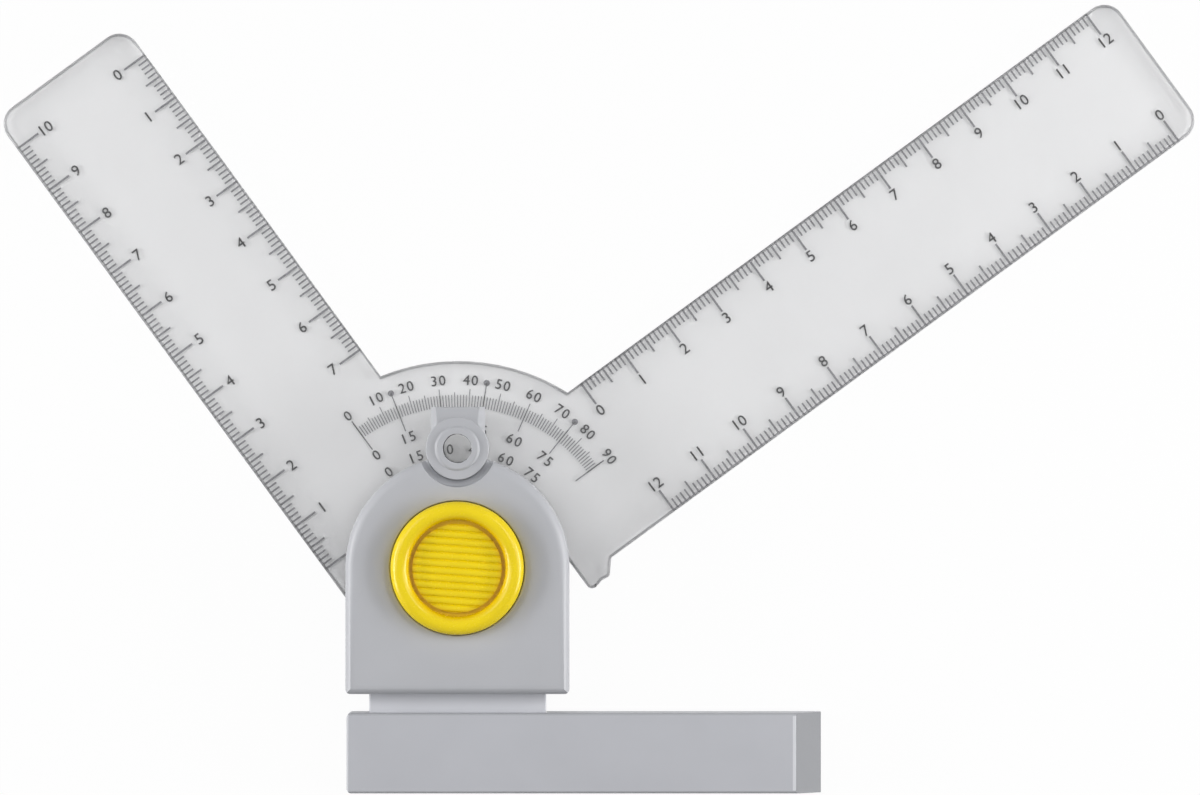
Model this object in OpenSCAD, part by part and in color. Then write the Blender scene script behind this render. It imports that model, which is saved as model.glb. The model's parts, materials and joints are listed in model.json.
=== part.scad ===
// Adjustable set square for a drawing board. A clear L-shaped square with two scaled arms and a
// protractor sector turns in a clamping head. The head's guide bar slides in the groove of the
// board's parallel rule, and the neck between them steps over the rule's lip. Pressing the button
// lowers a pressure plate and frees the square; the coil spring lifts it and clamps it again.
// Origin: the pivot axis on the board. +X runs along the guide bar, +Y points away from it.

/* [Set square] */
// Reading of the protractor at rest, in degrees
reading = 36.2; // [0:0.1:90]
// Reach of the long arm from the pivot axis
long_reach = 165.3; // [140:0.1:200]
// Reach of the short arm from the pivot axis
short_reach = 121.7; // [100:0.1:150]
// Width of both arms
arm_w = 30.5; // [29.5:0.1:32]
// Distance from the pivot axis to the long arm's upper edge
long_side = 14.6; // [13:0.1:15.5]
// Radius of the protractor sector
sector_r = 39.5; // [36:0.1:44]
// Radius of the arms' far corners
corner_r = 4; // [1:0.1:6]
// Thickness of the clear plate
plate_t = 2; // [1.6:0.05:2.4]
// Gap between the board and the plate
paper_gap = 0.3; // [0.1:0.05:0.4]
// Width of the plate between its bore and the hub's round edge
hub_land = 6.7; // [6:0.1:8]

/* [Stop lug] */
// Distance of the lug's stop face inside the hub's outline
lug_inset = 3.1; // [2.5:0.1:4]
// Width of the lug
lug_w = 7; // [6:0.1:9]
// Drop of the lug below the long arm's lower edge
lug_drop = 2.8; // [2:0.1:3]
// Radius of the lug's tip
lug_tip_r = 1.2; // [0.6:0.1:1.6]

/* [Head] */
// Overlap of the cover past the plate's hub
hub_lap = 0.45; // [0.2:0.05:1]
// Outer wall of the cover
wall_t = 1.75; // [1.4:0.05:2]
// Top skin of the cover
skin_t = 1.4; // [1.2:0.1:1.8]
// Depth of the button's well
well_depth = 4.5; // [4.2:0.1:7]
// Radius of the cover's upper edges
edge_r = 2; // [1:0.1:2.4]
// Radius of the head's back corners
back_r = 1; // [0.5:0.1:1.5]
// Depth of the foot behind the plate's hub
foot_d = 2.85; // [2.4:0.05:4]
// Gap between the plate and the cover over it
cover_gap = 0.3; // [0.2:0.05:0.4]
// Width of the shallow dish round the button
dish_w = 5; // [3:0.1:5.5]
// Depth of the dish at the button
dish_depth = 0.8; // [0.3:0.1:0.9]

/* [Index pointer] */
// Distance of the reading window's centre outside the cover
window_out = 1.45; // [1:0.05:2]
// Radius of the reading window
window_r = 2.7; // [2:0.1:2.8]
// Radius of the raised collar round the window
collar_r = 4.3; // [4:0.1:4.6]
// Radius of the pointer's eye
eye_r = 6; // [5.6:0.1:6.4]
// Width of the rounded groove in the cover round the eye
eye_groove = 1.4; // [0.8:0.1:1.6]
// Depth of that groove below the cover's top
groove_depth = 1.7; // [1.2:0.1:2]
// Length of the pointer from the window's centre to its tip
pointer_len = 7.9; // [7:0.1:9]
// Width of the pointer's top
pointer_w = 7.8; // [7:0.1:9]

/* [Button] */
// Width of the bead round the button's rim
bead_w = 3.5; // [3:0.1:3.8]
// Height of the rim above the cover
button_rise = 2; // [1:0.1:3]
// Travel of the button
travel = 1; // [0.6:0.1:1.2]
// Gap between the button and its well
well_gap = 0.3; // [0.2:0.05:0.5]
// Wall of the button's skirt
skirt_t = 1.4; // [1.2:0.1:1.6]
// Number of ribs in the thumb recess
rib_count = 12; // [6:1:12]
// Spacing of the ribs
rib_pitch = 1.4; // [1.2:0.05:1.45]
// Lean of the ribs, in degrees
rib_lean = -4; // [-10:1:10]

/* [Clamp] */
// Radius of the base disc's stud
stud_r = 2; // [1.6:0.1:2.4]
// Wall round the stud
core_wall = 2.4; // [1.6:0.1:3]
// Radius of the button's pegs
peg_r = 1.3; // [1.2:0.05:1.6]
// Wall between the pegs and the journal's outside
journal_wall = 0.9; // [0.7:0.05:1.2]
// Radial clearance of the hub ring on the journal
journal_fit = 0.05; // [0.02:0.01:0.1]
// Lip of the journal's flange
flange_lip = 1.9; // [1.6:0.1:2.4]
// Room between the return spring and the button's skirt
spring_room = 1.3; // [0.8:0.1:2]
// Wire of the return spring
wire_d = 0.6; // [0.4:0.05:0.7]
// Turns of the return spring
spring_turns = 2.5; // [2:0.5:3]
// Thickness of the base disc
disc_t = 0.9; // [0.7:0.1:1.2]
// Thickness of the pressure plate
press_t = 1; // [0.8:0.1:1.2]
// Thickness of the pressure plate's lining
liner_t = 0.4; // [0.3:0.05:0.6]
// Thickness of the hub ring's web
web_t = 1; // [0.8:0.1:1.2]
// Thickness of the brake ring
brake_t = 0.4; // [0.3:0.05:0.6]
// Thickness of the cover's floor over the brake ring
floor_t = 1; // [0.8:0.1:1.2]

/* [Neck and guide bar] */
// Width of the neck
neck_w = 33.8; // [30:0.1:36]
// Gap between head and guide bar, for the rule's lip
lip_gap = 3.65; // [3:0.05:6]
// Rise of the neck above the foot
riser_h = 1.2; // [0.8:0.1:2]
// Thickness of the neck
deck_t = 2.4; // [2:0.1:2.6]
// Distance of the guide bar's left end inside the head's left side
bar_inset = 0.15; // [0:0.05:1]
// Reach of the guide bar to the right of the pivot axis
bar_right = 69.5; // [60:0.1:100]
// Width of the guide bar
bar_w = 15.4; // [15:0.1:18]
// Wall of the guide bar
bar_wall = 2; // [1.8:0.1:2.2]
// Top skin of the guide bar
bar_skin = 1.3; // [1:0.1:1.5]
// Length of the ramp at the bar's right end
ramp_len = 4.9; // [3:0.1:8]
// Fall of the ramp
ramp_fall = 4.2; // [2:0.1:5]
// Height of the bar's underside, lifted by the glide strips
glide_h = 0.4; // [0.2:0.05:0.6]

/* [Hidden] */
$fn = 96;

grey = [0.69, 0.70, 0.72];
clear = [0.88, 0.88, 0.89, 0.45];
yellow = [0.91, 0.80, 0.04];
steel = [0.75, 0.76, 0.78];

// How far each cut runs past the face that it starts from
overrun = 1;
// Clearances between fixed pieces, round a screw's thread and round a pressed piece
fit_gap = 0.1;
thread_gap = 0.05;
press_gap = 0.02;

// Clamp, from the pivot axis outwards
core_r = stud_r + core_wall;
core_gap = 0.4;
peg_core_gap = 0.6;
peg_fit = 0.06;
peg_ring_r = core_r + peg_core_gap + peg_r;
journal_r = peg_ring_r + peg_r + journal_wall;
flange_r = journal_r + flange_lip;
flange_t = 0.7;
spring_edge = 0.4;
spring_rings = 12;
spring_sides = 6;
spring_r = flange_r - spring_edge - wire_d / 2;
button_r = spring_r + wire_d / 2 + spring_room + skirt_t;
press_over = 0.5;
press_r = button_r + press_over;
liner_w = 3.2;
bore_gap = 1;
plate_bore_r = press_r + bore_gap;
disc_gap = 0.6;
disc_r = plate_bore_r - disc_gap;
disc_chamfer = 0.3;
brake_over = 0.4;
brake_r = press_r + brake_over;
brake_w = 4;
stud_h = 3.6;
spanner_r = 0.9;
spanner_share = 0.66;

// Clamp, stacked up from the board
stop_gap = 0.1;
clamp_gap = 0.1;
journal_over = 0.3;
press_z = disc_t + stop_gap + travel;
press_top = press_z + press_t;
liner_top = press_top + liner_t;
web_z = liner_top + clamp_gap;
web_top = web_z + web_t;
brake_z = web_top + clamp_gap;
floor_z = brake_z + brake_t;
floor_top = floor_z + floor_t;
journal_z = web_z - journal_over;

// Plate, whose short arm's outer edge is tangent to the hub
hub_r = plate_bore_r + hub_land;
short_side = arm_w - hub_r;
arm_low = arm_w - long_side;
plate_top = paper_gap + plate_t;
lug_face = hub_r - lug_inset;
// Outline of the lug's lower edge, as shares of its width and drop
lug_shares = [[0.22, 1], [0.42, 0.86], [0.66, 0.96], [0.92, 0.2], [1, 0]];

// Cover
cover_r = hub_r + hub_lap;
cavity_r = cover_r - wall_t;
turn_gap = 0.6;
ring_r = cavity_r - turn_gap;
cover_z = plate_top + cover_gap;
cover_h = floor_top + well_depth;
skin_z = cover_h - skin_t;
back_gap = 0.3;
lug_gap = 0.5;
// Front face of the foot, clear of the plate's hub and of the lug
foot_y = max(hub_r + back_gap, arm_low + lug_drop + lug_gap);
cover_back = foot_y + foot_d;
well_r = button_r + well_gap;
well_wall = 1.5;
dish_r = well_r + dish_w;
dish_curve = (dish_w * dish_w + dish_depth * dish_depth) / (2 * dish_depth);

// Screws in the hub ring, midway between the plate's bore and the ring's edge
hub_screw_count = 6;
hub_screw_r = (plate_bore_r + ring_r) / 2;
hub_head_r = 1.4;
hub_head_h = 0.8;
hub_shank_r = 0.7;
hub_tip_gap = 0.5;
hub_screw_len = web_top - hub_tip_gap - paper_gap;

// Index pointer and its pocket in the cover's front
window_y = cover_r + window_out;
pocket_r = eye_r + eye_groove;
groove_r = eye_groove / 2;
pocket_wall = 1.3;
pocket_skin = 0.7;
pocket_z = floor_z + pocket_skin;
eye_sink = 0.6;
eye_top = cover_h - eye_sink;
collar_h = 0.4;
pointer_fall = 1.4;
pointer_flare = 1.3;
pointer_lift = 0.5;
pointer_z = plate_top + pointer_lift;
nose_gap = 0.15;
pin_r = 0.5;
pin_len = 2.2;
pin_spread = 8.5;

// Button
bead_r = bead_w / 2;
skirt_gap = 0.3;
rim_top = cover_h + button_rise;
bead_z = rim_top - bead_r;
recess_r = button_r - bead_w;
cap_t = 1.3;
cap_z = bead_z - cap_t;
skirt_z = floor_top + travel + skirt_gap;
seat_t = 0.8;
seat_z = bead_z - seat_t;
seat_side = 0.15;
seat_in = spring_r * cos(180 / spring_rings) - wire_d / 2 - seat_side;
rib_r = 0.75;
rib_rise = 0.4;
rib_gap = 0.7;
rim_groove = 0.3;
peg_count = 3;
peg_head_r = 1.1;
peg_head_h = 0.6;
peg_shank_r = 0.55;
peg_screw_len = 4;
spoke_margin = 1.3;

// Return spring, between the journal's flange and the button
spring_z = floor_top + flange_t;
spring_gap = 0.03;

// Neck, its foot and the stop finger beside the lug
deck_z = cover_z + riser_h;
deck_top = deck_z + deck_t;
ear_depth = 10;
ear_gap = 0.3;
finger_gap = 0.2;
finger_rise = 0.9;
stop_x = lug_face - finger_gap;
finger_start_share = 0.5;

// Self-tapping screws of the neck, the cover and the guide bar
screw_r = 1;
screw_head_r = 1.9;
screw_head_h = 0.9;
cover_screw_side = 3.1;
cover_screw_back = 5.6;
cover_screw_len = 4.4;
boss_r = 2.6;
bar_screw_len = 5;
neck_screw_side = 5.9;

// Cross recess of a screw, as shares of its head's radius
recess_len_share = 1.2;
recess_w_share = 0.26;
recess_depth_share = 0.35;

// Guide bar
bar_h = deck_top + bar_skin;
bar_left = cover_r - bar_inset;
bar_y = cover_back + lip_gap;
bar_mid_y = bar_y + bar_w / 2;
bar_corner_r = 1;
bar_edge_r = 0.6;
bar_base_t = 1.2;
bar_base_top = glide_h + bar_base_t;
tenon_gap = 1;
tenon_len = bar_w - bar_wall - tenon_gap;
// Right end of the bar's hollow, clear of the ramp
hollow_end = bar_right - ramp_len - bar_wall;
// Places of the bar's ribs and screw posts, as shares of the hollow's run beyond the neck
rib_shares = [0.16, 0.62];
post_shares = [0.38, 0.85];
rib_t = 1;
strip_margin = 0.6;
strip_w = bar_w / 2 - bar_wall - fit_gap - screw_head_r - 2 * strip_margin;
strip_y = screw_head_r + strip_margin + strip_w / 2;
strip_t = 0.7;
strip_end = 3;
leaf_t = 0.25;
leaf_side_gap = 0.1;
leaf_half = 14.2;
leaf_bow = 1.15;
leaf_proud = 0.35;
leaf_lip = 1;
leaf_lip_t = 0.5;
leaf_end_gap = 0.3;
leaf_back_gap = 0.15;
leaf_z = bar_base_top + leaf_side_gap;
leaf_w = deck_z - leaf_side_gap - leaf_z;

// Ring standing on height z
module ring(r_out, r_in, z, h) {
    translate([0, 0, z]) difference() {
        cylinder(r = r_out, h = h);
        translate([0, 0, -overrun]) cylinder(r = r_in, h = h + 2 * overrun);
    }
}

// Countersunk screw pointing up, its head's face at height zero
module flat_screw(head_r, head_h, shank_r, len) {
    difference() {
        union() {
            cylinder(r1 = head_r, r2 = shank_r, h = head_h);
            cylinder(r = shank_r, h = len);
        }
        for (a = [0, 90])
            rotate([0, 0, a])
                cube([head_r * recess_len_share, head_r * recess_w_share,
                      2 * head_r * recess_depth_share], center = true);
    }
}

// Hole for that screw, wider by the gap all round
module flat_screw_hole(head_r, head_h, shank_r, len, gap) {
    cylinder(r1 = head_r + gap, r2 = shank_r + gap, h = head_h);
    translate([0, 0, -overrun]) cylinder(r = head_r + gap, h = overrun);
    cylinder(r = shank_r + gap, h = len + gap);
}

// Turns its children to the square's angle at rest
module at_reading() {
    rotate([0, 0, reading]) children();
}

// Arm along +X from the pivot axis, with its two far corners rounded
module arm_outline(reach, low, high) {
    translate([0, low]) square([reach - corner_r, high - low]);
    translate([0, low + corner_r]) square([reach, high - low - 2 * corner_r]);
    for (y = [low + corner_r, high - corner_r])
        translate([reach - corner_r, y]) circle(corner_r);
}

// Lug below the long arm's root, whose left face meets the stop finger at reading 0
module lug_outline() {
    polygon(concat(
        [[lug_face, 0], [lug_face, -(arm_low + lug_drop - lug_tip_r)]],
        [for (s = lug_shares) [lug_face + s[0] * lug_w, -(arm_low + s[1] * lug_drop)]],
        [[lug_face + lug_w, 0]]));
    translate([lug_face + lug_tip_r, -(arm_low + lug_drop - lug_tip_r)]) circle(lug_tip_r);
}

// Outline of the plate, with a notch for the stop finger between its hub and its lug
module plate_outline() {
    difference() {
        arm_outline(long_reach, -arm_low, long_side);
        translate([0, -arm_low - overrun]) square([lug_face, arm_low + overrun]);
    }
    rotate([0, 0, 90]) arm_outline(short_reach, -short_side, hub_r);
    circle(hub_r);
    intersection() {
        circle(sector_r);
        square([sector_r, sector_r]);
    }
    lug_outline();
}

module at_hub_screws() {
    for (i = [0:hub_screw_count - 1])
        rotate([0, 0, i * 360 / hub_screw_count])
            translate([hub_screw_r, 0, paper_gap]) children();
}

module set_square() color(clear) at_reading() difference() {
    translate([0, 0, paper_gap]) linear_extrude(plate_t) plate_outline();
    translate([0, 0, paper_gap - overrun]) cylinder(r = plate_bore_r, h = plate_t + 2 * overrun);
    at_hub_screws()
        flat_screw_hole(hub_head_r, hub_head_h, hub_shank_r, plate_t + overrun, thread_gap);
}

module hub_ring() color(grey) at_reading() difference() {
    ring(ring_r, journal_r + journal_fit, plate_top, web_top - plate_top);
    translate([0, 0, plate_top - overrun])
        cylinder(r = plate_bore_r, h = web_z - plate_top + overrun);
    at_hub_screws() cylinder(r = hub_shank_r + thread_gap, h = hub_screw_len + thread_gap);
}

module hub_screws() color(steel) at_reading()
    at_hub_screws() flat_screw(hub_head_r, hub_head_h, hub_shank_r, hub_screw_len);

// Outline of the head: a round front and a square back with small corners
module head_outline(r, back, corner) {
    circle(r);
    translate([-r + corner, -back]) square([2 * (r - corner), back]);
    translate([-r, -back + corner]) square([2 * r, back - corner]);
    for (s = [-1, 1]) translate([s * (r - corner), -back + corner]) circle(corner);
}

// Half section from the axis out to half_w, with a rounded upper corner
module half_section(half_w, z0, z1, r) {
    translate([0, z0]) square([half_w - r, z1 - z0]);
    translate([0, z0]) square([half_w, z1 - z0 - r]);
    translate([half_w - r, z1 - r]) circle(r);
}

// Outer form of the cover, its upper edge rounded all round
module cover_blank() {
    intersection() {
        union() {
            rotate_extrude() half_section(cover_r, cover_z, cover_h, edge_r);
            rotate([90, 0, 0]) linear_extrude(cover_back)
                for (s = [0, 1]) mirror([s, 0]) half_section(cover_r, cover_z, cover_h, edge_r);
        }
        translate([0, 0, cover_z]) linear_extrude(cover_h - cover_z)
            head_outline(cover_r, cover_back, back_r);
        rotate([90, 0, 90]) translate([0, 0, -cover_r]) linear_extrude(2 * cover_r) {
            mirror([1, 0]) half_section(cover_back, cover_z, cover_h, edge_r);
            translate([0, cover_z]) square([cover_r, cover_h - cover_z]);
        }
    }
}

// Places of the two screws that join the head base to the cover
module at_cover_screws() {
    for (s = [-1, 1])
        translate([s * (neck_w / 2 - cover_screw_side), -(cover_back - cover_screw_back), 0])
            children();
}

// Moulded hollow between the outer wall, the well, the screw bosses and the pointer's pocket
module cover_hollow() {
    difference() {
        union() {
            translate([0, 0, floor_z]) cylinder(r = cavity_r, h = skin_z - floor_z);
            translate([0, 0, deck_top]) linear_extrude(skin_z - deck_top)
                head_outline(cavity_r, cover_back - wall_t, back_r);
        }
        cylinder(r = well_r + well_wall, h = cover_h);
        translate([0, window_y, 0]) cylinder(r = pocket_r + pocket_wall, h = cover_h);
        at_cover_screws() cylinder(r = boss_r, h = cover_h);
    }
}

// Dish that falls from the cover's top towards the button
module cover_dish() {
    rotate_extrude() difference() {
        translate([0, cover_h - dish_depth]) square([dish_r, dish_depth + overrun]);
        translate([dish_r, cover_h - dish_curve]) circle(dish_curve);
    }
}

// Pocket of the pointer's eye, with a rounded groove round its mouth
module eye_pocket() {
    z = cover_h - groove_depth + groove_r;
    translate([0, window_y, 0]) rotate_extrude() {
        translate([0, pocket_z]) square([eye_r + fit_gap, cover_h - pocket_z + overrun]);
        translate([0, z]) square([pocket_r, cover_h - z + overrun]);
        translate([pocket_r - groove_r, z]) circle(groove_r);
    }
}

// Space of the head base's neck and ears inside the cover
module neck_notch() {
    half = neck_w / 2 + fit_gap;
    difference() {
        translate([-half, -cover_back - overrun, cover_z - overrun])
            cube([2 * half, ear_depth + overrun + fit_gap, deck_top - cover_z + overrun]);
        cylinder(r = cavity_r, h = cover_h);
    }
}

// Two pins that locate the pointer on the wall under its eye
module pointer_pins(gap) {
    for (s = [-1, 1])
        rotate([0, 0, s * pin_spread])
            translate([0, (cavity_r + cover_r) / 2, pocket_z - pin_len - gap])
                cylinder(r = pin_r + gap, h = pin_len + gap);
}

module head_cover() color(grey) difference() {
    cover_blank();
    translate([0, 0, cover_z - overrun]) cylinder(r = cavity_r, h = floor_z - cover_z + overrun);
    cover_hollow();
    cover_dish();
    neck_notch();
    translate([0, 0, floor_top]) cylinder(r = well_r, h = cover_h);
    cylinder(r = journal_r + press_gap, h = cover_h);
    eye_pocket();
    translate([0, window_y, 0]) cylinder(r = window_r + fit_gap, h = cover_h);
    pointer_pins(press_gap);
    at_cover_screws() translate([0, 0, deck_z])
        cylinder(r = screw_r + thread_gap, h = cover_screw_len + thread_gap);
}

// Side view of the pointer's tongue, whose top falls towards the tip
module tongue_side() {
    tip_y = window_y + pointer_len;
    polygon([
        [cover_r + nose_gap, pointer_z], [tip_y, pointer_z], [tip_y, eye_top - pointer_fall],
        [window_y + collar_r, eye_top], [cover_r + nose_gap, eye_top]
    ]);
}

// End view of the tongue, wider at its foot
module tongue_end() {
    half = pointer_w / 2;
    polygon([
        [-half - pointer_flare, pointer_z], [half + pointer_flare, pointer_z],
        [half, eye_top], [-half, eye_top]
    ]);
}

module index_pointer() color(grey) difference() {
    union() {
        translate([0, window_y, pocket_z]) cylinder(r = eye_r, h = eye_top - pocket_z);
        translate([0, window_y, eye_top])
            cylinder(r1 = collar_r, r2 = collar_r - collar_h, h = collar_h);
        intersection() {
            rotate([90, 0, 90]) translate([0, 0, -eye_r]) linear_extrude(2 * eye_r) tongue_side();
            rotate([90, 0, 0]) translate([0, 0, -window_y - 2 * pointer_len])
                linear_extrude(window_y + 2 * pointer_len) tongue_end();
        }
        pointer_pins(0);
    }
    translate([0, window_y, pointer_z - overrun]) cylinder(r = window_r, h = cover_h);
}

// Foot of the head behind and beside the plate's hub, with the finger that stops the lug
module foot_outline() {
    finger_x = stop_x * finger_start_share;
    difference() {
        union() {
            intersection() {
                head_outline(cover_r, cover_back, back_r);
                translate([-cover_r, -cover_back]) square([2 * cover_r, foot_d]);
            }
            translate([finger_x, -foot_y - foot_d / 2])
                square([stop_x - finger_x, foot_y + foot_d / 2 - arm_low + finger_rise]);
            translate([finger_x, -cover_back + back_r])
                square([cover_r - finger_x, cover_back - back_r - arm_low - lug_drop - lug_gap]);
        }
        circle(hub_r + back_gap);
    }
}

// Neck with its ears in the cover and its tenon in the guide bar
module neck_outline() {
    difference() {
        translate([-neck_w / 2, -bar_y - tenon_len])
            square([neck_w, bar_y + tenon_len - cover_back + ear_depth]);
        circle(cavity_r + ear_gap);
    }
}

module at_neck_screws() {
    for (s = [-1, 1])
        translate([s * (neck_w / 2 - neck_screw_side), -bar_mid_y, glide_h]) children();
}

module head_base() color(grey) difference() {
    union() {
        translate([0, 0, paper_gap]) linear_extrude(cover_z - paper_gap) foot_outline();
        translate([-neck_w / 2, -cover_back, cover_z]) cube([neck_w, foot_d, deck_z - cover_z]);
        translate([0, 0, deck_z]) linear_extrude(deck_t) neck_outline();
    }
    at_cover_screws() translate([0, 0, deck_z])
        flat_screw_hole(screw_head_r, screw_head_h, screw_r, deck_t + overrun, thread_gap);
    at_neck_screws() cylinder(r = screw_r + thread_gap, h = bar_screw_len + thread_gap);
}

module cover_screws() color(steel) at_cover_screws() translate([0, 0, deck_z])
    flat_screw(screw_head_r, screw_head_h, screw_r, cover_screw_len);

module at_pegs() {
    for (i = [0:peg_count - 1])
        rotate([0, 0, 90 + i * 360 / peg_count]) translate([peg_ring_r, 0, 0]) children();
}

// Journal pressed into the cover's floor, with bores for the button's pegs
module pivot_journal() color(steel) difference() {
    union() {
        translate([0, 0, disc_t]) cylinder(r = core_r, h = journal_z - disc_t);
        translate([0, 0, journal_z]) cylinder(r = journal_r, h = floor_top - journal_z);
        translate([0, 0, floor_top]) cylinder(r = flange_r, h = flange_t);
    }
    translate([0, 0, disc_t - overrun])
        cylinder(r = stud_r + thread_gap, h = stud_h + overrun + thread_gap);
    at_pegs() cylinder(r = peg_r + peg_fit, h = cover_h);
}

// Disc that closes the pivot from below, with a stud into the journal and two spanner holes
module base_disc() color(grey) difference() {
    union() {
        cylinder(r1 = disc_r - disc_chamfer, r2 = disc_r, h = disc_chamfer);
        translate([0, 0, disc_chamfer]) cylinder(r = disc_r, h = disc_t - disc_chamfer);
        translate([0, 0, disc_t]) cylinder(r = stud_r, h = stud_h);
    }
    for (s = [-1, 1])
        translate([s * disc_r * spanner_share, 0, -overrun])
            cylinder(r = spanner_r, h = disc_t + 2 * overrun);
}

module brake_ring() color("saddlebrown")
    ring(brake_r, brake_r - brake_w, brake_z, brake_t);

// Bead-rimmed cap with a ribbed thumb recess and three pegs
module push_button() color(yellow) difference() {
    union() {
        rotate_extrude() difference() {
            union() {
                translate([0, skirt_z]) square([button_r, bead_z - skirt_z]);
                translate([button_r - bead_r, bead_z]) circle(bead_r);
            }
            translate([0, skirt_z - overrun])
                square([button_r - skirt_t, cap_z - skirt_z + overrun]);
            translate([seat_in, skirt_z - overrun])
                square([button_r - skirt_t - seat_in, seat_z - skirt_z + overrun]);
            translate([recess_r - rib_gap, bead_z - rim_groove])
                square([rib_gap, rim_groove + overrun]);
        }
        at_pegs() translate([0, 0, press_top])
            cylinder(r = peg_r, h = cap_z + cap_t / 2 - press_top);
        button_ribs();
    }
    at_pegs() translate([0, 0, press_z])
        cylinder(r = peg_shank_r + thread_gap, h = peg_screw_len + thread_gap);
}

module button_ribs() {
    span = (rib_count - 1) * rib_pitch;
    intersection() {
        translate([0, 0, bead_z - rib_r]) cylinder(r = recess_r - rib_gap, h = 2 * rib_r);
        rotate([0, 0, rib_lean])
            for (i = [0:rib_count - 1])
                translate([-recess_r, i * rib_pitch - span / 2, bead_z + rib_rise - rib_r])
                    rotate([0, 90, 0]) cylinder(r = rib_r, h = 2 * recess_r);
    }
}

// Stamped plate: a clamping ring on three spokes that are screwed to the pegs
module pressure_plate() color(steel) difference() {
    union() {
        ring(press_r, press_r - liner_w, press_z, press_t);
        translate([0, 0, press_z]) linear_extrude(press_t) at_pegs() {
            circle(peg_head_r + spoke_margin);
            translate([0, -peg_head_r - spoke_margin])
                square([press_r - liner_w / 2 - peg_ring_r, 2 * (peg_head_r + spoke_margin)]);
        }
    }
    cylinder(r = core_r + core_gap, h = cover_h);
    at_pegs() translate([0, 0, press_z])
        flat_screw_hole(peg_head_r, peg_head_h, peg_shank_r, press_t + overrun, thread_gap);
}

module pressure_liner() color("saddlebrown")
    ring(press_r, press_r - liner_w, press_top, liner_t);

module peg_screws() color(steel) at_pegs() translate([0, 0, press_z])
    flat_screw(peg_head_r, peg_head_h, peg_shank_r, peg_screw_len);

// Centre line of the spring's wire, from the flange up to the button
spring_rise = seat_z - spring_z - wire_d - 2 * spring_gap;
spring_steps = spring_turns * spring_rings;
spring_line = [for (i = [0:spring_steps]) let (a = i * 360 / spring_rings)
    [spring_r * cos(a), spring_r * sin(a),
     spring_z + spring_gap + wire_d / 2 + spring_rise * i / spring_steps]];
// Least distance between turns, from points at least half a turn apart
spring_clear = min([for (i = [0:spring_steps]) for (j = [i + spring_rings / 2:spring_steps])
    norm(spring_line[i] - spring_line[j])]) - wire_d;
echo(spring_least_gap = spring_clear);

module return_spring() color(steel) {
    n = spring_sides;
    last = spring_steps * n;
    points = [for (i = [0:spring_steps]) for (k = [0:n - 1])
        let (a = i * 360 / spring_rings, b = k * 360 / n, out = wire_d / 2 * cos(b))
            spring_line[i] + [out * cos(a), out * sin(a), wire_d / 2 * sin(b)]];
    sides = [for (i = [0:spring_steps - 1]) for (k = [0:n - 1])
        let (p = i * n + k, q = i * n + (k + 1) % n)
            each [[p, q, q + n], [p, q + n, p + n]]];
    ends = [for (k = [1:n - 2]) each [[0, k + 1, k], [last, last + k, last + k + 1]]];
    polyhedron(points, concat(sides, ends));
}

// Outer form of the guide bar: rounded upper edges and left corners, and a ramp at the right end
module bar_blank() {
    len = bar_left + bar_right;
    intersection() {
        translate([-bar_left, -bar_y - bar_w, glide_h]) linear_extrude(bar_h - glide_h) {
            translate([bar_corner_r, 0]) square([len - bar_corner_r, bar_w]);
            translate([0, bar_corner_r]) square([len, bar_w - 2 * bar_corner_r]);
            for (y = [bar_corner_r, bar_w - bar_corner_r])
                translate([bar_corner_r, y]) circle(bar_corner_r);
        }
        translate([-bar_left, -bar_mid_y, 0]) rotate([90, 0, 90]) linear_extrude(len)
            for (s = [0, 1]) mirror([s, 0]) half_section(bar_w / 2, glide_h, bar_h, bar_edge_r);
        translate([0, -bar_y, 0]) rotate([90, 0, 0]) linear_extrude(bar_w) {
            mirror([1, 0]) half_section(bar_left, glide_h, bar_h, bar_edge_r);
            polygon([
                [0, glide_h], [bar_right, glide_h], [bar_right, bar_h - ramp_fall],
                [bar_right - ramp_len, bar_h], [0, bar_h]
            ]);
        }
    }
}

// Places along the hollow beyond the neck, given as shares of that run
function bar_xs(shares) = [for (s = shares) neck_w / 2 + s * (hollow_end - neck_w / 2)];

module at_posts() {
    for (x = bar_xs(post_shares)) translate([x, -bar_mid_y, glide_h]) children();
}

module guide_bar() color(grey) difference() {
    union() {
        difference() {
            bar_blank();
            translate([-bar_left + bar_wall, -bar_y - bar_w + bar_wall, glide_h - overrun])
                cube([bar_left + hollow_end - bar_wall, bar_w - 2 * bar_wall,
                      deck_top - glide_h + overrun]);
        }
        for (x = bar_xs(rib_shares))
            translate([x, -bar_y - bar_w + bar_wall / 2, bar_base_top])
                cube([rib_t, bar_w - bar_wall, deck_top + bar_skin / 2 - bar_base_top]);
        at_posts() translate([0, 0, bar_base_t])
            cylinder(r = boss_r, h = deck_top + bar_skin / 2 - bar_base_top);
    }
    translate([-neck_w / 2 - fit_gap, -bar_y - bar_wall - overrun / 2, glide_h - overrun])
        cube([neck_w + 2 * fit_gap, bar_wall + overrun, deck_top - glide_h + overrun]);
    at_posts() cylinder(r = screw_r + thread_gap, h = bar_screw_len + thread_gap);
}

// Recess of the leaf spring under the neck, open to the front between two end lips
module leaf_recess() {
    depth = leaf_bow + leaf_t + leaf_back_gap - leaf_proud;
    half = leaf_half + leaf_end_gap;
    translate([-half + leaf_lip, -bar_y - depth, bar_base_top])
        cube([2 * (half - leaf_lip), depth + overrun, deck_z - bar_base_top + overrun]);
    translate([-half, -bar_y - depth, bar_base_top])
        cube([2 * half, depth - leaf_lip_t, deck_z - bar_base_top + overrun]);
}

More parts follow.
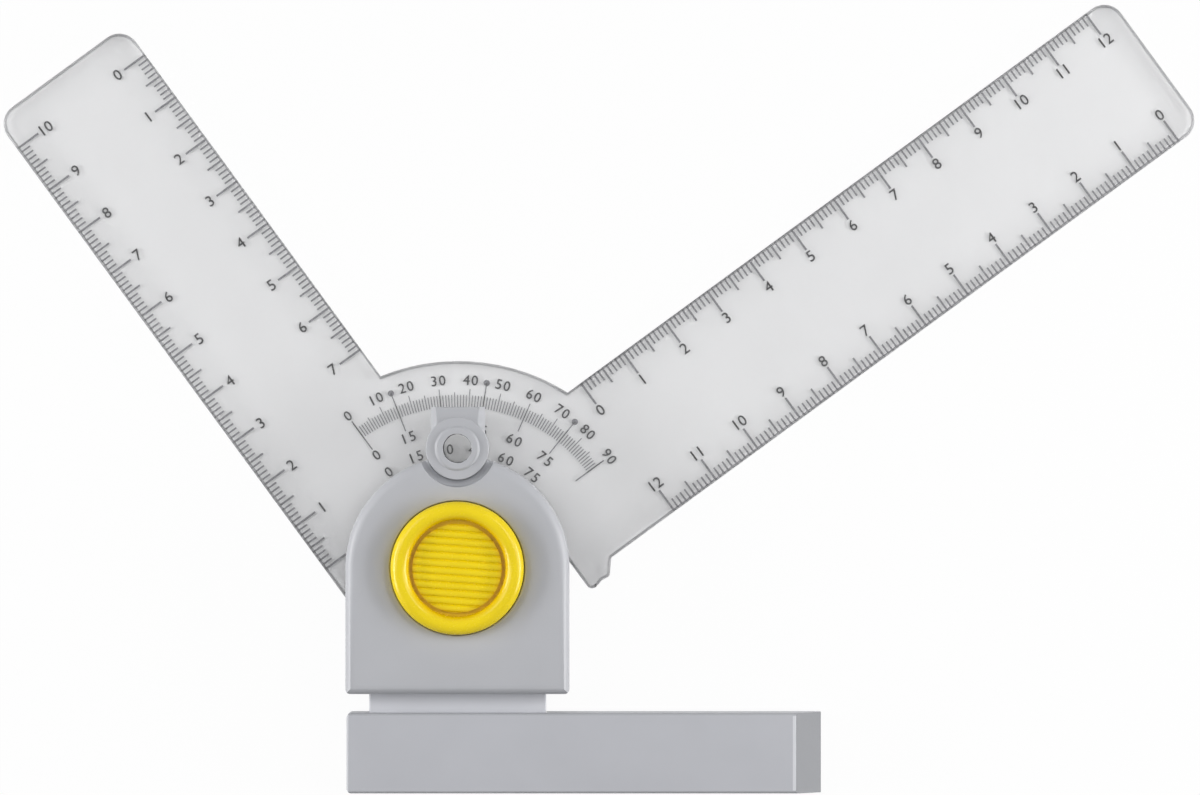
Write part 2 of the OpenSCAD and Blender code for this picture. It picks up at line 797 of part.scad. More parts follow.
// Closing plate of the guide bar, with the upstand that holds the leaf spring under the neck
module bar_base() color(grey) difference() {
    union() {
        translate([-bar_left + bar_wall + fit_gap, -bar_y - bar_w + bar_wall + fit_gap, glide_h])
            cube([bar_left + hollow_end - bar_wall - 2 * fit_gap,
                  bar_w - 2 * (bar_wall + fit_gap), bar_base_t]);
        translate([-neck_w / 2, -bar_y - bar_wall - fit_gap, glide_h])
            cube([neck_w, bar_wall + fit_gap, deck_z - glide_h]);
        at_neck_screws() cylinder(r = boss_r, h = deck_z - glide_h);
    }
    leaf_recess();
    at_neck_screws()
        flat_screw_hole(screw_head_r, screw_head_h, screw_r, deck_z, thread_gap);
    at_posts()
        flat_screw_hole(screw_head_r, screw_head_h, screw_r, deck_z, thread_gap);
    strips(thread_gap);
}

module bar_screws() color(steel) {
    at_neck_screws() flat_screw(screw_head_r, screw_head_h, screw_r, bar_screw_len);
    at_posts() flat_screw(screw_head_r, screw_head_h, screw_r, bar_screw_len);
}

// Two strips along the bar's underside, or with a gap their grooves
module strips(gap) {
    start = -bar_left + bar_wall + strip_end;
    for (s = [-1, 1])
        translate([start - gap, -bar_mid_y + s * strip_y - strip_w / 2 - gap, -gap])
            cube([hollow_end - strip_end - start + 2 * gap, strip_w + 2 * gap, strip_t + gap]);
}

module glide_strips() color("whitesmoke") strips(0);

// Bowed strip whose middle stands proud of the bar's front face
module leaf_spring() color(steel) {
    bend_r = (leaf_half * leaf_half + leaf_bow * leaf_bow) / (2 * leaf_bow);
    intersection() {
        translate([0, -bar_y + leaf_proud - bend_r, 0])
            ring(bend_r, bend_r - leaf_t, leaf_z, leaf_w);
        translate([-leaf_half, -bar_y - bar_wall, 0]) cube([2 * leaf_half, 2 * bar_wall, bar_h]);
    }
}

set_square();
hub_ring();
hub_screws();
head_cover();
index_pointer();
head_base();
cover_screws();
pivot_journal();
base_disc();
brake_ring();
push_button();
pressure_plate();
pressure_liner();
peg_screws();
return_spring();
guide_bar();
bar_base();
bar_screws();
glide_strips();
leaf_spring();
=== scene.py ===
import json
import math

import bmesh
import bpy
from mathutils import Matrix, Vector


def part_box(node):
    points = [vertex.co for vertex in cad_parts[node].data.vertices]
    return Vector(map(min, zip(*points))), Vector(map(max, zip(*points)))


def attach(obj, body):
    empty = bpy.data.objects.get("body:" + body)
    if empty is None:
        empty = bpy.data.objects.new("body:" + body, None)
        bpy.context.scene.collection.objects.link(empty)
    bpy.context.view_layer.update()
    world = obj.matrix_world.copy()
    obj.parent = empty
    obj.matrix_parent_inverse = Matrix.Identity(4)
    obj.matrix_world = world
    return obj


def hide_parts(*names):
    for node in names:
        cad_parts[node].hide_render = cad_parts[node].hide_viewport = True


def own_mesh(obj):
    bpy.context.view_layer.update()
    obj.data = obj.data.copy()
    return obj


MM = 0.001

# Photograph: its frame in mm, on the plate's top, seen straight from above
VIEW_CENTRE = (27.2, 32.5)
VIEW_WIDTH = 230.0
VIEW_HEIGHT = 1200.0

# Camera: sensor in mm, and the nearest and furthest that it sees, in metres
SENSOR = 36.0
CLIP_START = 0.1
CLIP_END = 20.0

# Places in mm that tell faces and edges apart: centre and reach of the pointer's window, reach
# of the plate's hub and of the button's well, and where the top and the ramp begin
WINDOW = Vector((0.0, 22.8))
WINDOW_REACH = 2.9
HUB_REACH = 20.5
WELL_REACH = 14.0
TOP_FROM = 7.0
RAMP_FROM = 60.0

# Shortest edges in mm that are softened on the neck and at the ramp
NECK_EDGE_FROM = 1.5
CREST_FROM = 8.0

# Meshes: corners nearer than this many metres are one, faces flatter than this are one, and
# edges are sharp from this angle
WELD = 1e-6
FLAT = math.radians(0.2)
SHARP = math.radians(32.0)

# Widths of the softened edges in mm, and how many faces each gets
EDGE_WELL = 0.3
EDGE_NECK = 0.3
EDGE_POINTER = 0.2
EDGE_BAR = 0.6
EDGE_PLATE = 0.55
EDGE_SEGMENTS = 3

# Well of the cover in mm: radius of its rim in the solid, and as it is shown, and how far a
# corner may lie from the rim
WELL_SOLID = 13.0
WELL_SHOWN = 12.82
RIM_NEAR = 0.1

# Button: radii in mm of the colours through its groove, where a darker orange is painted shade,
# and of its outside
BUTTON_RADIUS = 12.7
GROOVE_STOPS = ((0.0, "plain"), (7.6, "plain"), (8.7, "painted_shade_in_groove"), (9.1, "painted_shade_in_groove"), (10.2, "plain"))
# Tints of the yellow: plain, and a darker orange painted as shade in the groove
GROOVE_PAINTED_SHADE = {"plain": (1.0, 1.0, 1.0, 1.0), "painted_shade_in_groove": (0.88, 0.74, 1.0, 1.0)}

# Print in mm: how far it lies under the plate, ticks of 1, 5 and 10 mm, and digits
INK_DROP = 0.02
TICK_LENGTHS = {1: 2.3, 5: 3.5, 10: 5.0}
TICK_WIDTHS = {1: 0.32, 5: 0.36, 10: 0.4}
DIGIT_HEIGHT = 2.1
DIGIT_BOLD = 0.025
DIGIT_PITCH = 1.55

# Edges of the arms in mm, in their own frame: u along the long arm, v along the short arm
LONG_LOW = -15.9
LONG_HIGH = 14.6
SHORT_OUTER = -20.9
SHORT_INNER = 9.6

# Scales in mm: length, place of the zero, way along the edge, way into the plate, and how far
# in the numbers are
SCALES = (
    (120, (39.8, LONG_HIGH), (1, 0), (0, -1), 6.4),
    (120, (159.8, LONG_LOW), (-1, 0), (0, 1), 6.4),
    (100, (SHORT_OUTER, 14.7), (0, 1), (1, 0), 6.6),
    (70, (SHORT_INNER, 114.8), (0, -1), (-1, 0), 6.6),
)

# Protractor in mm: radii of its ticks, lines, dots and numbers, and their sizes
DEGREES_FROM = 30.7
DEGREES_TO = {1: 33.0, 5: 33.5, 10: 34.2}
DEGREE_WIDTH = 0.17
DOTS_AT = 35.7
DOT_RADIUS = 0.6
LINES_FROM = 27.9
LINE_WIDTH = 0.2
THIRDS_FROM = 28.4
THIRDS_TO = 33.0
ENDS_TO = 34.6
END_WIDTH = 0.24
SMALL_DIGIT = 1.9
TENS_AT = 35.9
TENS_PITCH = 1.6
FIFTEENS_AT = (26.6, 22.6)
FIFTEENS_PITCH = 1.7

# Floor: half its side and its depth under the part in metres, its white, and how far it shines
# of its own to the camera and through the plate
FLOOR_HALF = 3.0
FLOOR_DROP = 0.00006
FLOOR_WHITE = 0.71
FLOOR_SEEN = 0.96
FLOOR_THROUGH_PLATE = 0.02

# Studio: its light low in front and high up, how far its top leans back, its tint and strength
STUDIO_LOW = 0.15
STUDIO_HIGH = 1.3
STUDIO_LEAN = 0.2
STUDIO_TINT = (0.97, 0.98, 1.0)
STUDIO_STRENGTH = 0.315

# Lamps of each side: name, place on the right, target and size in metres, and watts
LAMPS = (
    ("high", (0.44, 0.22, 0.48), (0.02, 0.01, 0.0), (0.5, 0.2), 1.2),
    ("low", (0.50, 0.0, 0.15), (0.0, 0.0, 0.006), (0.4, 0.07), 2.0),
)


def srgb(r, g, b):
    """Linear colour of an 8-bit screen colour."""
    def linear(c):
        c /= 255.0
        return c / 12.92 if c <= 0.04045 else ((c + 0.055) / 1.055) ** 2.4
    return (linear(r), linear(g), linear(b), 1.0)


def scaled(color, share):
    return tuple(min(1.0, c * share) for c in color[:3]) + (1.0,)


def turned(x, y, degrees):
    """Point turned about the origin."""
    c, s = math.cos(math.radians(degrees)), math.sin(math.radians(degrees))
    return (x * c - y * s, x * s + y * c)


# ---- materials

def fill(node, values):
    """Sets inputs of a node by their names."""
    for name, value in values.items():
        node.inputs[name].default_value = value
    return node


def math_node(tree, operation, *values):
    """Output of a math node that works on numbers and on outputs of other nodes."""
    node = tree.nodes.new("ShaderNodeMath")
    node.operation = operation
    for socket, value in zip(node.inputs, values):
        if isinstance(value, float):
            socket.default_value = value
        else:
            tree.links.new(value, socket)
    return node.outputs["Value"]


class Surface:
    """A node material with its main shader, and short calls for the nodes before it."""

    def __init__(self, name, roughness, metallic=0.0):
        self.material = bpy.data.materials.new(name)
        self.material.use_nodes = True
        self.tree = self.material.node_tree
        self.shader = self.tree.nodes["Principled BSDF"]
        fill(self.shader, {"Roughness": roughness, "Metallic": metallic})
        self.place = self.add("ShaderNodeTexCoord").outputs["Object"]

    def add(self, kind, **settings):
        node = self.tree.nodes.new(kind)
        for key, value in settings.items():
            setattr(node, key, value)
        return node

    def link(self, start, end):
        self.tree.links.new(start, end)

    def mapped(self, scale):
        """Place on the object, scaled along its axes."""
        node = fill(self.add("ShaderNodeMapping"), {"Scale": scale})
        self.link(self.place, node.inputs["Vector"])
        return node.outputs["Vector"]

    def noise(self, scale, detail=2.0, rough=0.5, stretch=None):
        """Noise with features of about 1 / scale metres, drawn out along an axis by stretch."""
        node = fill(self.add("ShaderNodeTexNoise"),
                    {"Scale": scale, "Detail": detail, "Roughness": rough})
        self.link(self.mapped(stretch) if stretch else self.place, node.inputs["Vector"])
        return node.outputs["Fac"]

    def from_axis(self):
        """Distance from the pivot axis."""
        flat = self.mapped((1.0, 1.0, 0.0))
        length = self.add("ShaderNodeVectorMath", operation="LENGTH")
        self.link(flat, length.inputs[0])
        return length.outputs["Value"]

    def spread(self, value, low, high, start=0.25, end=0.75):
        """Number from low to high as value goes from start to end."""
        node = fill(self.add("ShaderNodeMapRange"), {
            "From Min": start, "From Max": end, "To Min": low, "To Max": high})
        self.link(value, node.inputs["Value"])
        return node.outputs["Result"]

    def stops(self, value, stops):
        """Colour through stops of (value, colour)."""
        ramp = self.add("ShaderNodeValToRGB")
        elements = ramp.color_ramp.elements
        while len(elements) < len(stops):
            elements.new(0.5)
        for element, (at, color) in zip(elements, stops):
            element.position = at
            element.color = color
        self.link(value, ramp.inputs["Fac"])
        return ramp.outputs["Color"]

    def between(self, value, low, high, start=0.3, end=0.7):
        """Colour that goes from low to high as value goes from start to end."""
        return self.stops(value, [(start, low), (end, high)])

    def times(self, first, second):
        """Product of two colours."""
        node = self.add("ShaderNodeMix", data_type="RGBA", blend_type="MULTIPLY")
        node.inputs[0].default_value = 1.0
        self.link(first, node.inputs[6])
        self.link(second, node.inputs[7])
        return node.outputs[2]

    def let_light_through(self, alpha):
        """Lamplight and light from matt surfaces pass straight through, all but the share
        alpha."""
        path = self.add("ShaderNodeLightPath").outputs
        lit = math_node(self.tree, "MAXIMUM", path["Is Shadow Ray"], path["Is Diffuse Ray"])
        self.link(self.spread(lit, 1.0, alpha, 0.0, 1.0), self.shader.inputs["Alpha"])

    def colour(self, value):
        self.link(value, self.shader.inputs["Base Color"])

    def roughness(self, value):
        self.link(value, self.shader.inputs["Roughness"])

    def bump(self, value, height, strength):
        node = fill(self.add("ShaderNodeBump"), {"Distance": height, "Strength": strength})
        self.link(value, node.inputs["Height"])
        self.link(node.outputs["Normal"], self.shader.inputs["Normal"])


def moulded(name, color, roughness, grain=3200.0, height=0.00003, strength=0.25, mottle=0.02):
    """Moulded plastic: an even colour with faint mottle, and a fine spark-eroded grain."""
    s = Surface(name, roughness)
    s.colour(s.between(s.noise(90.0, 4.0), scaled(color, 1 - mottle), scaled(color, 1 + mottle)))
    fine = s.noise(grain, 3.0, 0.6)
    s.roughness(s.spread(fine, roughness - 0.06, roughness + 0.06))
    s.bump(fine, height, strength)
    return s.material


def button_plastic():
    """Yellow that turns to a darker orange in the groove between the ribs and the bead: painted
    shade.
    """
    s = Surface("button_yellow", 0.3)
    even = s.between(s.noise(110.0, 3.0), srgb(231, 203, 3), srgb(238, 211, 6))
    share = s.spread(s.from_axis(), 0.0, 1.0, 0.0, BUTTON_RADIUS * MM)
    tint = s.stops(share, [(at / BUTTON_RADIUS, GROOVE_PAINTED_SHADE[name]) for at, name in GROOVE_STOPS])
    s.colour(s.times(even, tint))
    fine = s.noise(1800.0, 3.0)
    s.roughness(s.spread(fine, 0.2, 0.3))
    s.bump(fine, 0.00002, 0.12)
    fill(s.shader, {"Specular IOR Level": 0.36})
    return s.material


def clear_plastic(name, tint, alpha, roughness):
    """Cast acrylic with a faint grey body and hairline handling marks."""
    s = Surface(name, roughness)
    s.colour(s.between(s.noise(45.0, 2.0), scaled(tint, 0.985), scaled(tint, 1.015)))
    marks = s.noise(500.0, 5.0, 0.7, (1.0, 14.0, 1.0))
    s.roughness(s.spread(marks, roughness, roughness + 0.05))
    fill(s.shader, {"Transmission Weight": 1.0, "IOR": 1.49})
    s.let_light_through(alpha)
    return s.material


def ink():
    """Screen-printed ink, slightly thin in places."""
    s = Surface("scale_ink", 0.6)
    s.colour(s.between(s.noise(2500.0, 4.0), srgb(90, 90, 94), srgb(130, 130, 134)))
    s.bump(s.noise(6000.0), 0.00001, 0.1)
    return s.material


def turned_steel(name, color, roughness):
    """Steel with the fine marks of turning and stamping."""
    s = Surface(name, roughness, 1.0)
    s.colour(s.between(s.noise(300.0, 3.0), scaled(color, 0.94), scaled(color, 1.04)))
    marks = s.noise(1200.0, 4.0, 0.6, (1.0, 9.0, 3.0))
    s.roughness(s.spread(marks, roughness - 0.08, roughness + 0.1))
    s.bump(marks, 0.00001, 0.3)
    return s.material


def lining():
    """Pressed friction lining: short fibres in a brown binder."""
    s = Surface("lining_brown", 0.85)
    s.colour(s.between(s.noise(2200.0, 6.0, 0.7, (1.0, 3.0, 1.0)),
                       srgb(84, 58, 38), srgb(134, 98, 66), 0.35, 0.65))
    s.bump(s.noise(3500.0, 4.0, 0.7), 0.00005, 0.6)
    return s.material


# ---- number of the material that a face takes, by its middle in mm and its normal

def one_kind(middle, normal):
    return 0


def pointer_kind(middle, normal):
    """The window's bore is 1, a dark grey painted as shade."""
    return int(abs(normal.z) < 0.1 and (middle.xy - WINDOW).length < WINDOW_REACH)


def bar_kind(middle, normal):
    """The ramp is 1 and the rounded long edges are 2, both in painted shade. The softened
    crest takes 3, a painted highlight.
    """
    if normal.x > 0.3 and normal.z > 0.3:
        return 1
    return 2 if abs(normal.y) > 0.25 and normal.z > 0.05 else 0


def plate_kind(middle, normal):
    """The outer side walls are 1, and so are their softened edges: a dark grey tint painted as
    the shade along the plate's rim.
    """
    return int(middle.xy.length > HUB_REACH and abs(normal.z) < 0.1)


# ---- which convex edges are softened, by their middle and length in mm

def no_edge(middle, length):
    return False


def well_edge(middle, length):
    return middle.z > TOP_FROM and middle.xy.length < WELL_REACH


def top_edge(middle, length):
    return middle.z > TOP_FROM


def neck_edge(middle, length):
    return length > NECK_EDGE_FROM


def crest_edge(middle, length):
    return length > CREST_FROM and middle.x > RAMP_FROM and middle.z > TOP_FROM


def plate_edge(middle, length):
    return middle.xy.length > HUB_REACH


# ---- meshes

def new_piece(name, mesh, body, materials):
    piece = bpy.data.objects.new(name, mesh)
    bpy.context.scene.collection.objects.link(piece)
    for material in materials:
        mesh.materials.append(material)
    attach(piece, body)
    return piece


def clean_mesh(node, name, chosen, kind):
    """Copy of a CAD node's surface with joined corners, whole flat faces and sharp edges. The
    convex edges that chosen(middle, length) picks are marked for softening, and a face takes
    the material of the number that kind(middle, normal) gives."""
    source = frame["nodes"][node].data
    mesh = bpy.data.meshes.new(name)
    bm = bmesh.new()
    verts = [bm.verts.new(v.co) for v in source.vertices]
    for polygon in source.polygons:
        try:
            bm.faces.new([verts[i] for i in polygon.vertices])
        except ValueError:
            pass
    bmesh.ops.remove_doubles(bm, verts=bm.verts, dist=WELD)
    bmesh.ops.dissolve_limit(bm, angle_limit=FLAT, verts=bm.verts, edges=bm.edges)
    bmesh.ops.recalc_face_normals(bm, faces=bm.faces)
    for face in bm.faces:
        face.smooth = True
        face.material_index = kind(face.calc_center_median() / MM, face.normal)
    weight = bm.edges.layers.float.new("bevel_weight_edge")
    for edge in bm.edges:
        edge.smooth = len(edge.link_faces) == 2 and edge.calc_face_angle() < SHARP
        middle = (edge.verts[0].co + edge.verts[1].co) / (2 * MM)
        if not edge.smooth and edge.is_convex and chosen(middle, edge.calc_length() / MM):
            edge[weight] = 1.0
    bm.to_mesh(mesh)
    bm.free()
    return mesh


def refined(node, body, materials, width, chosen, kind=one_kind, edge_material=-1):
    """CAD node with its chosen edges softened, in one or more materials. The softened edges
    take the material edge_material, or with -1 that of the faces beside them."""
    name = node + "_finished"
    piece = new_piece(name, clean_mesh(node, name, chosen, kind), body, materials)
    bevel = piece.modifiers.new("soft_edges", "BEVEL")
    bevel.width = width * MM
    bevel.segments = EDGE_SEGMENTS
    bevel.limit_method = "WEIGHT"
    bevel.harden_normals = True
    bevel.use_clamp_overlap = False
    bevel.material = edge_material
    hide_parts(node)
    return piece


def draw_in_rim(cover):
    """Draws the rim of the button's well in a little, so that the gap round the button is as
    fine as on the real one."""
    ring = [v for v in cover.data.vertices if abs(v.co.xy.length / MM - WELL_SOLID) < RIM_NEAR]
    top = max(v.co.z for v in ring) - RIM_NEAR * MM
    for vertex in ring:
        if vertex.co.z > top:
            vertex.co.xy *= WELL_SHOWN / WELL_SOLID


def make_coil(material):
    """The return spring, which on the real part gets shorter as the button goes down; here a
    piece with a mesh of its own.
    """
    node, name = "return_spring", "return_spring_finished"
    coil = new_piece(name, clean_mesh(node, name, no_edge, one_kind), "root", [material])
    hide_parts(node)
    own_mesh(coil)


# ---- print on the plate

def glyph_shapes():
    """Flat mesh of each digit, one unit high and centred."""
    shapes = {}
    for digit in "0123456789":
        curve = bpy.data.curves.new("digit", "FONT")
        curve.body = digit
        curve.resolution_u = 3
        holder = bpy.data.objects.new("digit", curve)
        bpy.context.scene.collection.objects.link(holder)
        bpy.context.view_layer.update()
        graph = bpy.context.evaluated_depsgraph_get()
        mesh = bpy.data.meshes.new_from_object(holder.evaluated_get(graph))
        xs = [v.co.x for v in mesh.vertices]
        ys = [v.co.y for v in mesh.vertices]
        height = max(ys) - min(ys)
        points = [((v.co.x - (min(xs) + max(xs)) / 2) / height,
                   (v.co.y - (min(ys) + max(ys)) / 2) / height) for v in mesh.vertices]
        shapes[digit] = (points, [tuple(p.vertices) for p in mesh.polygons])
        bpy.data.objects.remove(holder)
        bpy.data.curves.remove(curve)
        bpy.data.meshes.remove(mesh)
    return shapes


class Print:
    """Flat shapes in the arms' frame, in mm."""

    def __init__(self):
        self.verts = []
        self.faces = []
        self.shapes = glyph_shapes()

    def add(self, points, faces):
        first = len(self.verts)
        self.verts.extend(points)
        self.faces.extend([tuple(first + i for i in face) for face in faces])

    def line(self, start, end, width):
        along = Vector((end[0] - start[0], end[1] - start[1])).normalized() * (width / 2)
        side = (-along.y, along.x)
        self.add([(start[0] + side[0], start[1] + side[1]),
                  (start[0] - side[0], start[1] - side[1]),
                  (end[0] - side[0], end[1] - side[1]),
                  (end[0] + side[0], end[1] + side[1])], [(0, 1, 2, 3)])

    def dot(self, centre, radius, sides=28):
        ring = [(centre[0] + radius * math.cos(2 * math.pi * i / sides),
                 centre[1] + radius * math.sin(2 * math.pi * i / sides)) for i in range(sides)]
        self.add(ring, [tuple(range(sides))])

    def number(self, value, centre, turn=0.0, height=DIGIT_HEIGHT, pitch=DIGIT_PITCH):
        """Digits of value side by side round centre, turned by turn degrees. Each is struck
        twice, a little apart, which makes it bolder."""
        text = str(value)
        for i, digit in enumerate(text):
            shift = (i - (len(text) - 1) / 2) * pitch
            points, faces = self.shapes[digit]
            for apart in (-DIGIT_BOLD, DIGIT_BOLD):
                placed = [turned(x * height + shift + apart, y * height + apart, turn)
                          for x, y in points]
                self.add([(centre[0] + x, centre[1] + y) for x, y in placed], faces)

    def mesh(self, name, z, turn):
        mesh = bpy.data.meshes.new(name)
        flat = [turned(u, v, turn) for u, v in self.verts]
        mesh.from_pydata([(x * MM, y * MM, z) for x, y in flat], [], self.faces)
        mesh.update()
        return mesh


def tick_kind(i):
    return 10 if i % 10 == 0 else 5 if i % 5 == 0 else 1


def ruler(sheet, count, zero, along, inward, numbers_in):
    """Millimetre scale of count mm. It starts at zero on the plate's edge, and inward points
    into the plate."""
    for i in range(count + 1):
        kind = tick_kind(i)
        x, y = zero[0] + along[0] * i, zero[1] + along[1] * i
        length = TICK_LENGTHS[kind]
        sheet.line((x, y), (x + inward[0] * length, y + inward[1] * length), TICK_WIDTHS[kind])
        if kind == 10:
            sheet.number(i // 10, (x + inward[0] * numbers_in, y + inward[1] * numbers_in))


def polar(radius, reading):
    """Point of the protractor at a reading, in the arms' frame."""
    a = math.radians(90.0 - reading)
    return (radius * math.cos(a), radius * math.sin(a))


def protractor(sheet):
    def ray(degree, start, end, width):
        sheet.line(polar(start, degree), polar(end, degree), width)

    def label(degree, radius, pitch):
        sheet.number(degree, polar(radius, degree), -degree, SMALL_DIGIT, pitch)

    for degree in range(91):
        ray(degree, DEGREES_FROM, DEGREES_TO[tick_kind(degree)], DEGREE_WIDTH)
    for degree in range(0, 91, 10):
        label(degree, TENS_AT, TENS_PITCH)
    for degree in (15, 45, 75):
        sheet.dot(polar(DOTS_AT, degree), DOT_RADIUS)
        ray(degree, DOTS_AT, LINES_FROM, LINE_WIDTH)
    for degree in (30, 60):
        ray(degree, THIRDS_TO, THIRDS_FROM, LINE_WIDTH)
    for degree in (0, 90):
        ray(degree, ENDS_TO, LINES_FROM, END_WIDTH)
    for degree in range(0, 76, 15):
        for radius in FIFTEENS_AT:
            label(degree, radius, FIFTEENS_PITCH)


def scales(reading):
    """Print of all the scales, turned to the reading at rest."""
    sheet = Print()
    for scale in SCALES:
        ruler(sheet, *scale)
    protractor(sheet)
    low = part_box("set_square")[0]
    return sheet.mesh("printed_scales", low.z - INK_DROP * MM, reading)


# ---- stage, lamps and camera

def white_where_seen(tree, lit, seen, through):
    """Adds light of its own to a white surface: a share for what the camera and gloss see, and
    one for what is seen through the plate. Light that has met a matt surface gets neither."""
    path = tree.nodes.new("ShaderNodeLightPath").outputs
    glass = path["Is Transmission Ray"]
    direct = math_node(tree, "MAXIMUM", path["Is Camera Ray"], path["Is Glossy Ray"])
    direct = math_node(tree, "MULTIPLY", direct, math_node(tree, "SUBTRACT", 1.0, glass))
    direct = math_node(tree, "MULTIPLY", direct, seen)
    either = math_node(tree, "MULTIPLY_ADD", glass, through, direct)
    first = math_node(tree, "LESS_THAN", path["Diffuse Depth"], 0.5)
    glow = tree.nodes.new("ShaderNodeEmission")
    mix = tree.nodes.new("ShaderNodeMixShader")
    tree.links.new(math_node(tree, "MULTIPLY", either, first), mix.inputs["Fac"])
    tree.links.new(lit, mix.inputs[1])
    tree.links.new(glow.outputs["Emission"], mix.inputs[2])
    return mix.outputs["Shader"]


def make_floor():
    mesh = bpy.data.meshes.new("board")
    corners = ((-1, -1), (1, -1), (1, 1), (-1, 1))
    mesh.from_pydata([(x * FLOOR_HALF, y * FLOOR_HALF, -FLOOR_DROP) for x, y in corners],
                     [], [(0, 1, 2, 3)])
    board = bpy.data.objects.new("board", mesh)
    bpy.context.scene.collection.objects.link(board)
    s = Surface("board_white", 0.9)
    fill(s.shader, {"Base Color": (FLOOR_WHITE, FLOOR_WHITE, FLOOR_WHITE, 1.0),
                    "Specular IOR Level": 0.0})
    output = s.tree.nodes["Material Output"]
    s.link(white_where_seen(s.tree, s.shader.outputs["BSDF"], FLOOR_SEEN, FLOOR_THROUGH_PLATE),
           output.inputs["Surface"])
    mesh.materials.append(s.material)


def make_world():
    """Pale studio, brightest overhead and darkest low down in front."""
    world = bpy.data.worlds.new("studio")
    bpy.context.scene.world = world
    world.use_nodes = True
    nodes, links = world.node_tree.nodes, world.node_tree.links
    height = nodes.new("ShaderNodeVectorMath")
    height.operation = "DOT_PRODUCT"
    height.inputs[1].default_value = (0.0, STUDIO_LEAN, 1.0)
    links.new(nodes.new("ShaderNodeTexCoord").outputs["Generated"], height.inputs[0])
    shade = fill(nodes.new("ShaderNodeMapRange"), {
        "From Min": -STUDIO_LEAN, "From Max": 1.0, "To Min": STUDIO_LOW, "To Max": STUDIO_HIGH})
    links.new(height.outputs["Value"], shade.inputs["Value"])
    tint = nodes.new("ShaderNodeVectorMath")
    tint.operation = "SCALE"
    tint.inputs[0].default_value = STUDIO_TINT
    links.new(shade.outputs["Result"], tint.inputs["Scale"])
    background = fill(nodes["Background"], {"Strength": STUDIO_STRENGTH})
    links.new(tint.outputs["Vector"], background.inputs["Color"])
    shown = white_where_seen(world.node_tree, background.outputs["Background"], 1.0, 1.0)
    links.new(shown, nodes["World Output"].inputs["Surface"])


def make_lamp(name, place, target, size, watts):
    data = bpy.data.lights.new(name, "AREA")
    data.shape = "RECTANGLE"
    data.size, data.size_y = size
    data.energy = watts
    lamp = bpy.data.objects.new(name, data)
    bpy.context.scene.collection.objects.link(lamp)
    lamp.location = place
    lamp.rotation_mode = "QUATERNION"
    lamp.rotation_quaternion = (Vector(target) - Vector(place)).to_track_quat("-Z", "Y")


def make_camera():
    data = bpy.data.cameras.new("camera")
    data.sensor_width = SENSOR
    data.lens = SENSOR * VIEW_HEIGHT / VIEW_WIDTH
    data.clip_start = CLIP_START
    data.clip_end = CLIP_END
    camera = bpy.data.objects.new("camera", data)
    bpy.context.scene.collection.objects.link(camera)
    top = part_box("set_square")[1].z
    camera.location = (VIEW_CENTRE[0] * MM, VIEW_CENTRE[1] * MM, VIEW_HEIGHT * MM + top)
    bpy.context.scene.camera = camera


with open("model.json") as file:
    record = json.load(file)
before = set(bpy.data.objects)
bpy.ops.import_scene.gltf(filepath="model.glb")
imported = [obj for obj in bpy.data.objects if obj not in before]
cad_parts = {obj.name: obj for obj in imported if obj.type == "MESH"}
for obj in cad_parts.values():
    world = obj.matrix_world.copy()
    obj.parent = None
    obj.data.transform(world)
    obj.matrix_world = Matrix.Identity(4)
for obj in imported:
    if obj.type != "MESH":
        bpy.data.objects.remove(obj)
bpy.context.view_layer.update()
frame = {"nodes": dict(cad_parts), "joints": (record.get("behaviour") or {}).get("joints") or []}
make_camera()

joints = {joint["type"]: joint for joint in frame["joints"]}
reading_at_rest = -joints["hinge"]["range_deg"][0]

cover_grey = moulded("cover_grey", srgb(175, 176, 180), 0.42)
pointer_grey = moulded("pointer_grey", srgb(173, 174, 178), 0.45)
bar_grey = moulded("bar_grey", srgb(177, 178, 183), 0.42)
# Painted shade: the ramp is a darker grey because it faces away from the light, and it is rougher
# too
ramp_painted_shade = moulded("ramp_painted_shade", srgb(136, 137, 140), 0.75, 2200.0, 0.00004, 0.4)
# Painted shade: the bar's rounded long edges are a darker grey where they turn away from the
# light
long_edge_painted_shade = moulded("long_edge_painted_shade", srgb(162, 163, 167), 0.6)
# Painted highlight: the softened crest between the bar's top and its ramp is a lighter grey
crest_painted_highlight = moulded("crest_painted_highlight", srgb(204, 205, 209), 0.5)
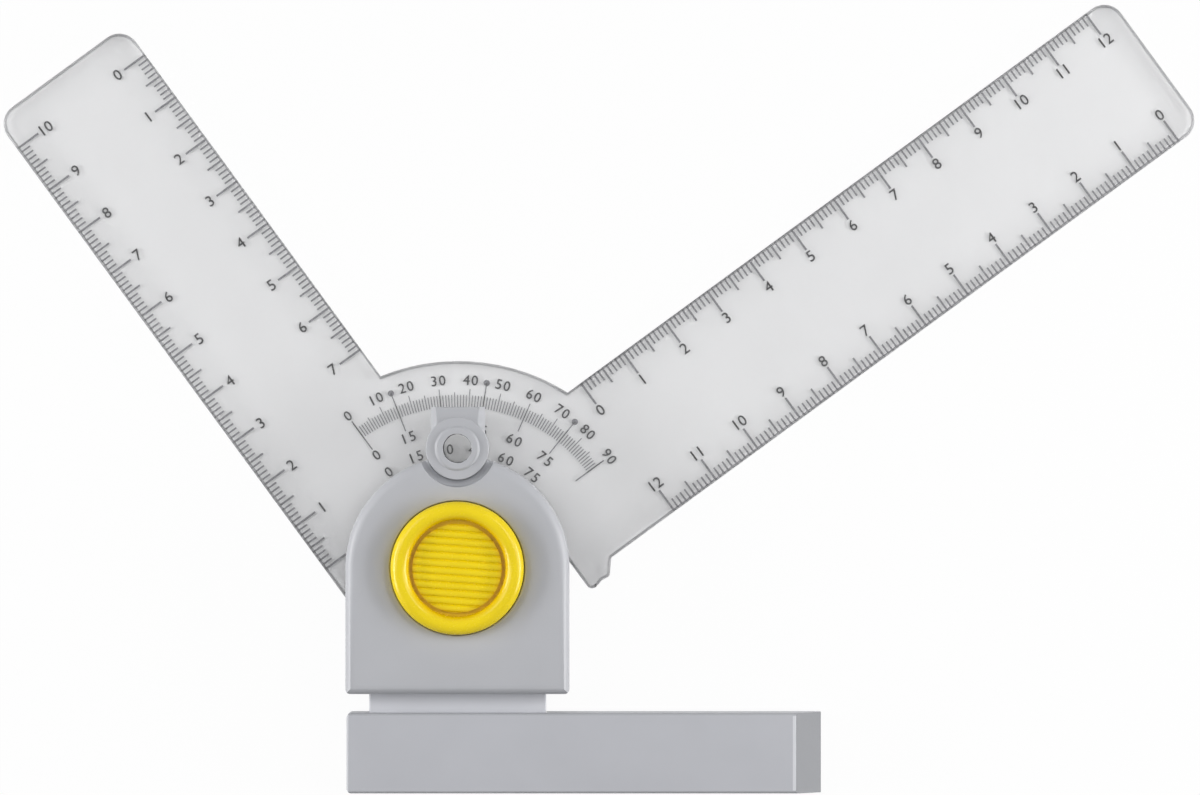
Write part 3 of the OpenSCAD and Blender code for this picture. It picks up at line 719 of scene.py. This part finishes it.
# Painted shade: the bore of the pointer's window is dark grey, as if in shadow
bore_painted_shade = moulded("bore_painted_shade", srgb(72, 73, 76), 0.6)
base_grey = moulded("base_grey", srgb(172, 173, 177), 0.5)
# Painted light: the neck is a lighter copy of the base grey, lifting the shade between head and
# bar
neck_painted_light = moulded("neck_painted_light", srgb(202, 203, 208), 0.5)
yellow = button_plastic()
acrylic = clear_plastic("acrylic_clear", (0.98, 0.98, 0.985), 0.06, 0.02)
# Painted shade: the plate's side walls and their softened edges take a dark grey tint, for the
# dark line along the rim
acrylic_edge_painted_shade = clear_plastic("acrylic_edge_painted_shade", (0.44, 0.44, 0.45), 0.5, 0.3)
steel = turned_steel("steel_turned", srgb(196, 197, 200), 0.34)
brown = lining()
white = moulded("glide_white", srgb(236, 236, 230), 0.38, 2000.0, 0.00002, 0.2, 0.01)

carried_over = {
    "hub_ring": base_grey, "hub_screws": steel, "cover_screws": steel, "pivot_journal": steel,
    "base_disc": base_grey, "brake_ring": brown, "pressure_plate": steel,
    "pressure_liner": brown, "peg_screws": steel, "bar_base": base_grey,
    "bar_screws": steel, "glide_strips": white, "leaf_spring": steel, "push_button": yellow,
}
for node_name, finish in carried_over.items():
    held = frame["nodes"][node_name].data.materials
    held.clear()
    held.append(finish)

draw_in_rim(refined("head_cover", "root", [cover_grey], EDGE_WELL, well_edge))
refined("index_pointer", "root", [pointer_grey, bore_painted_shade], EDGE_POINTER,
        top_edge, pointer_kind)
refined("head_base", "root", [neck_painted_light], EDGE_NECK, neck_edge)
refined("guide_bar", "root", [bar_grey, ramp_painted_shade, long_edge_painted_shade, crest_painted_highlight],
        EDGE_BAR, crest_edge, bar_kind, 3)
refined("set_square", "square", [acrylic, acrylic_edge_painted_shade], EDGE_PLATE,
        plate_edge, plate_kind, 1)

make_coil(steel)
new_piece("printed_scales", scales(reading_at_rest), "square", [ink()])

make_floor()
make_world()
for side, hand in ((-1, "left_"), (1, "right_")):
    for lamp_name, (x, y, z), target, size, watts in LAMPS:
        make_lamp(hand + lamp_name, (side * x, y, z), target, size, watts)
bpy.context.scene.view_settings.view_transform = "Standard"
